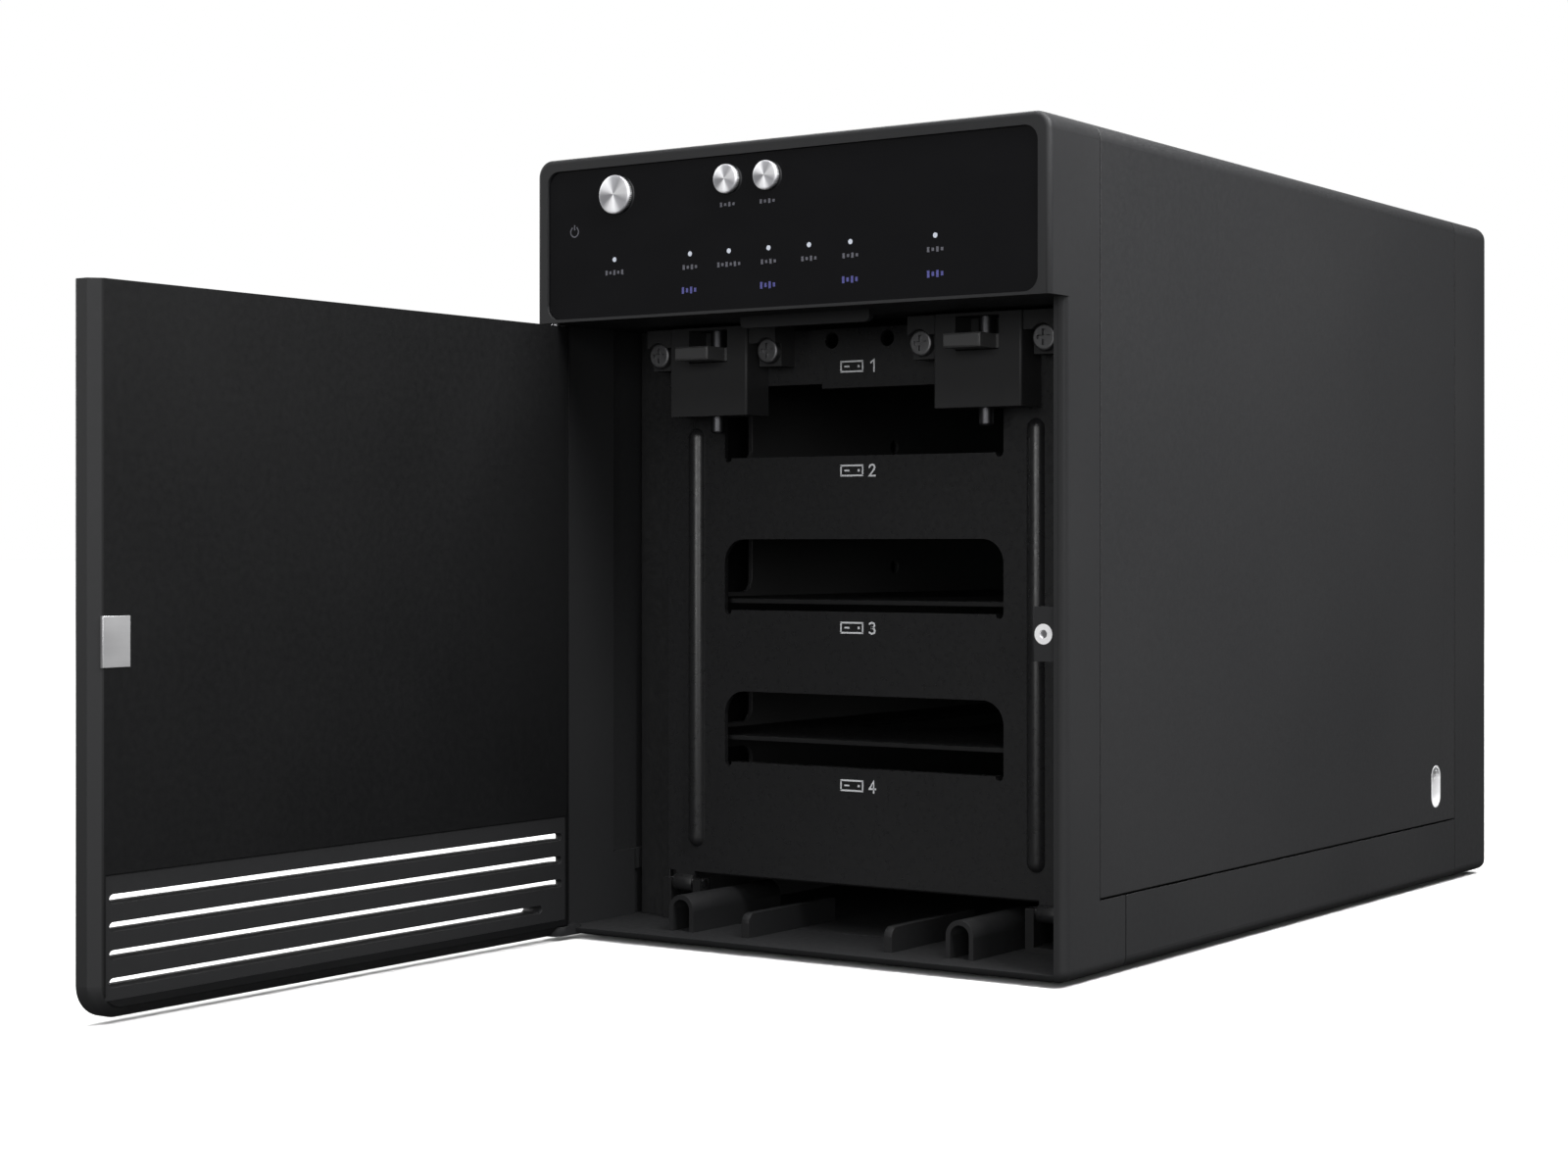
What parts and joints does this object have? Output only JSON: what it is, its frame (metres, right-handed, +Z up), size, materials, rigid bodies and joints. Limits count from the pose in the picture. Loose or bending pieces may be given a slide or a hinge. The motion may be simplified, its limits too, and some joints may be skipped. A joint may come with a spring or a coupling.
{
  "type": "nas enclosure",
  "caption": "Desktop drive enclosure: box casing with a hinged front door standing open, a drive cover with sliding latches over the drive bays, and a control window with push buttons above.",
  "frame": {"origin": "on the plane that the feet rest on, under the centre of the casing's footprint (the open door is left out of that centre)", "axes": "+X to the right as seen from the front, +Y from the front to the rear, +Z up"},
  "size_m": [0.126, 0.34, 0.165],
  "materials": {
    "casing_plastic": "fine textured matte black",
    "gloss_black": "glossy black",
    "button_chrome": "polished silver",
    "cover_sheet": "matte black powder coat",
    "shelf_steel": "matte black",
    "bright_steel": "nickel-plated steel",
    "magnet_dark": "nickel-plated magnet",
    "board_green": "green solder mask",
    "light_clear": "clear light guide",
    "foot_rubber": "black rubber",
    "cable_grey": "flat grey ribbon"
  },
  "bodies": {
    "chassis": {"front_bezel": "casing_plastic", "control_panel": "gloss_black", "front_board": "board_green", "tact_switches": "casing_plastic", "status_leds": "light_clear", "light_pipes": "light_clear", "door_magnet": "magnet_dark", "magnet_screw": "bright_steel", "floor_guides": "casing_plastic", "base_tray": "casing_plastic", "rubber_feet": "foot_rubber", "top_cover": "cover_sheet", "lock_plate": "cover_sheet", "lock_liner": "bright_steel", "cage_side_left": "cover_sheet", "cage_side_right": "cover_sheet", "drive_shelf_1": "shelf_steel", "drive_shelf_2": "shelf_steel", "drive_shelf_3": "shelf_steel", "drive_shelf_4": "shelf_steel", "cage_top": "cover_sheet", "backplane_board": "board_green", "sata_sockets": "casing_plastic", "cover_brackets": "cover_sheet", "rear_frame": "casing_plastic", "rear_panel": "cover_sheet", "panel_screws": "bright_steel", "fan_frame": "casing_plastic", "fan_screws": "bright_steel", "controller_board": "board_green", "usb_port": "bright_steel", "esata_port": "bright_steel", "power_jack": "casing_plastic", "front_cable": "cable_grey"},
    "door": {"front_door": "casing_plastic", "door_strike": "bright_steel", "door_hinge_pins": "bright_steel"},
    "drive_cover": {"drive_cover": "cover_sheet", "cover_trunnions": "bright_steel", "latch_housing_left": "casing_plastic", "latch_housing_right": "casing_plastic", "latch_screws": "bright_steel"},
    "latch_left": {"latch_tab_left": "casing_plastic", "latch_bolt_left": "bright_steel"},
    "latch_right": {"latch_tab_right": "casing_plastic", "latch_bolt_right": "bright_steel"},
    "power_button": {"power_button": "button_chrome"},
    "sync_button": {"sync_button": "button_chrome"},
    "fan_button": {"fan_button": "button_chrome"},
    "fan_rotor": {"fan_rotor": "casing_plastic"}
  },
  "joints": [
    {"name": "door_hinge", "type": "hinge", "parent": "chassis", "child": "door", "pos_m": [-0.06025, -0.10725, 0.066], "axis": [0, 0, -1], "range_deg": [-90, 15]},
    {"name": "cover_tilt", "type": "hinge", "parent": "chassis", "child": "drive_cover", "pos_m": [0, -0.0807, 0.0104], "axis": [1, 0, 0], "range_deg": [0, 80]},
    {"name": "latch_left_slide", "type": "slide", "parent": "drive_cover", "child": "latch_left", "axis": [0, 0, 1], "range_m": [0, 0.0036]},
    {"name": "latch_right_slide", "type": "slide", "parent": "drive_cover", "child": "latch_right", "axis": [0, 0, 1], "range_m": [0, 0.0036]},
    {"name": "power_button_press", "type": "slide", "parent": "chassis", "child": "power_button", "axis": [0, 1, 0], "range_m": [0, 0.0008], "stiffness_N_per_m": 300},
    {"name": "sync_button_press", "type": "slide", "parent": "chassis", "child": "sync_button", "axis": [0, 1, 0], "range_m": [0, 0.0008], "stiffness_N_per_m": 300},
    {"name": "fan_button_press", "type": "slide", "parent": "chassis", "child": "fan_button", "axis": [0, 1, 0], "range_m": [0, 0.0008], "stiffness_N_per_m": 300},
    {"name": "fan_spin", "type": "hinge", "parent": "chassis", "child": "fan_rotor", "pos_m": [0, 0.098, 0.09], "axis": [0, 1, 0], "continuous": true}
  ]
}
